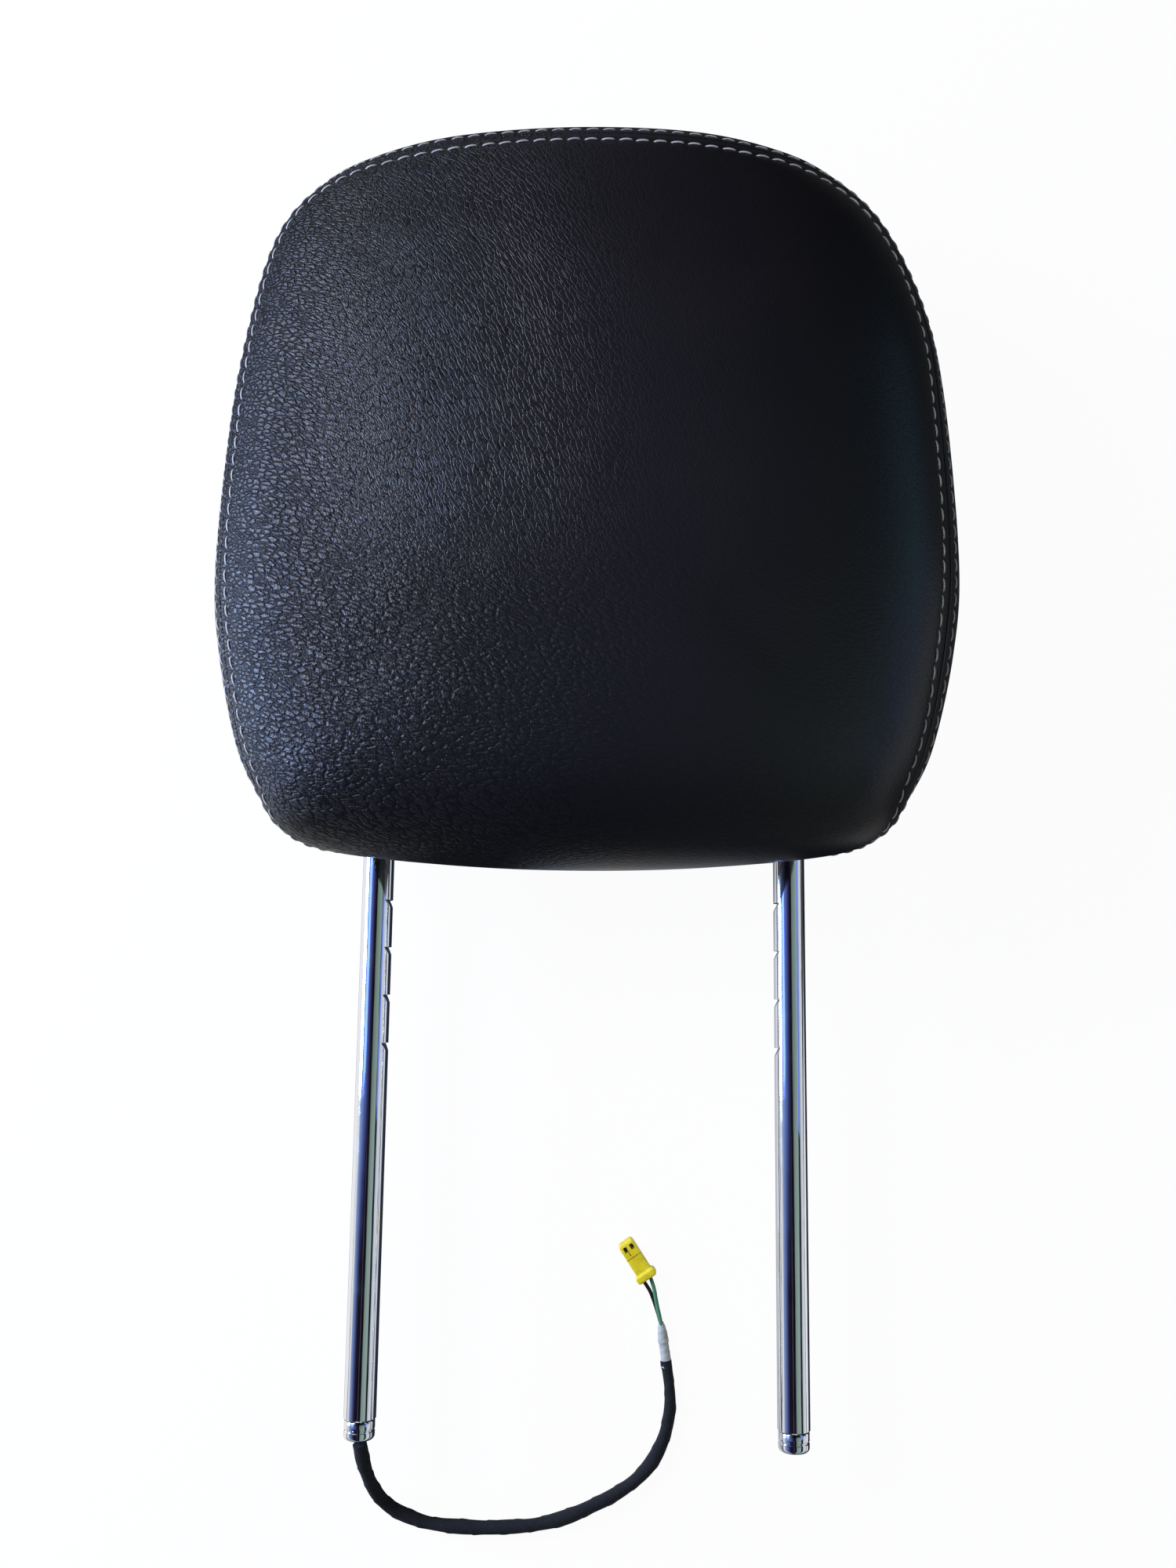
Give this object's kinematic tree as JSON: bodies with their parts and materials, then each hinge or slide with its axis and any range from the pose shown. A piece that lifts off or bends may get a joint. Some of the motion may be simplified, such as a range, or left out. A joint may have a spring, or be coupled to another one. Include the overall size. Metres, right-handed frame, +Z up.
{
  "type": "car headrest",
  "caption": "Black leather active car headrest with sprung front cushion, latch and solenoid, notched chromed posts and a lead with a small connector",
  "frame": {"origin": "on the floor under the middle of the headrest lying on its back, lead left out", "axes": "+Z up out of the front face, +Y to the top of the headrest, +X to the viewer's right"},
  "size_m": [0.2738, 0.5371, 0.112],
  "materials": {
    "shell_plastic": "fine moulded grain",
    "carrier_plastic": "moulded, glass filled",
    "post_chrome": "bright chrome plate",
    "zinc_steel": "zinc plated",
    "spring_steel": "oiled",
    "coil_tape": "varnished winding",
    "natural_plastic": "natural acetal",
    "loom_tape": "woven textile tape",
    "white_tape": "worn cloth tape",
    "black_insulation": "smooth",
    "green_insulation": "smooth",
    "yellow_plastic": "moulded",
    "black_leather": "pebble grain, two rows of grey stitching",
    "cushion_foam": "open-cell foam"
  },
  "bodies": {
    "rear_unit": {"rear_shell": "shell_plastic", "carrier_plate": "carrier_plastic", "left_post": "post_chrome", "right_post": "post_chrome", "left_end_ring": "post_chrome", "right_end_plug": "post_chrome", "left_collar": "shell_plastic", "right_collar": "shell_plastic", "lower_bridge": "zinc_steel", "upper_bridge": "zinc_steel", "bridge_screw_1": "zinc_steel", "bridge_screw_2": "zinc_steel", "bridge_screw_3": "zinc_steel", "bridge_screw_4": "zinc_steel", "shell_screw_1": "zinc_steel", "shell_screw_2": "zinc_steel", "shell_screw_3": "zinc_steel", "guide_bush_1": "natural_plastic", "guide_bush_2": "natural_plastic", "guide_bush_3": "natural_plastic", "guide_bush_4": "natural_plastic", "solenoid_frame": "zinc_steel", "solenoid_coil": "coil_tape", "solenoid_rivet_1": "zinc_steel", "solenoid_rivet_2": "zinc_steel", "solenoid_plug": "natural_plastic", "latch_pin": "zinc_steel", "latch_spring": "spring_steel", "inner_lead": "loom_tape", "lead_clip": "zinc_steel", "drive_spring_1": "spring_steel", "drive_spring_2": "spring_steel", "loom": "loom_tape", "tape_sleeve": "white_tape", "black_wire": "black_insulation", "green_wire": "green_insulation", "connector_housing": "yellow_plastic", "terminal_1": "zinc_steel", "terminal_2": "zinc_steel"},
    "front_unit": {"front_cover": "black_leather", "front_foam": "cushion_foam", "impact_plate": "carrier_plastic", "guide_rod_1": "zinc_steel", "guide_rod_2": "zinc_steel", "guide_rod_3": "zinc_steel", "guide_rod_4": "zinc_steel", "rod_clip_1": "zinc_steel", "rod_clip_2": "zinc_steel", "rod_clip_3": "zinc_steel", "rod_clip_4": "zinc_steel", "latch_striker": "zinc_steel"},
    "lever": {"latch_lever": "zinc_steel"},
    "plunger": {"solenoid_plunger": "zinc_steel"}
  },
  "joints": [
    {"name": "cushion_slide", "type": "slide", "parent": "rear_unit", "child": "front_unit", "axis": [0, 0, 1], "range_m": [0, 0.026], "deforming": ["drive_spring_1", "drive_spring_2"]},
    {"name": "lever_turn", "type": "hinge", "parent": "rear_unit", "child": "lever", "pos_m": [0.022, 0.10325, 0.0238], "axis": [0, 0, 1], "range_deg": [0, 20]},
    {"name": "plunger_slide", "type": "slide", "parent": "rear_unit", "child": "plunger", "axis": [0, 1, 0], "range_m": [0, 0.0042]}
  ],
  "couplings": [
    {"joint": "lever_turn", "follows": "cushion_slide", "rad_per_m": 13.419},
    {"joint": "plunger_slide", "follows": "cushion_slide", "ratio": 0.1584}
  ]
}
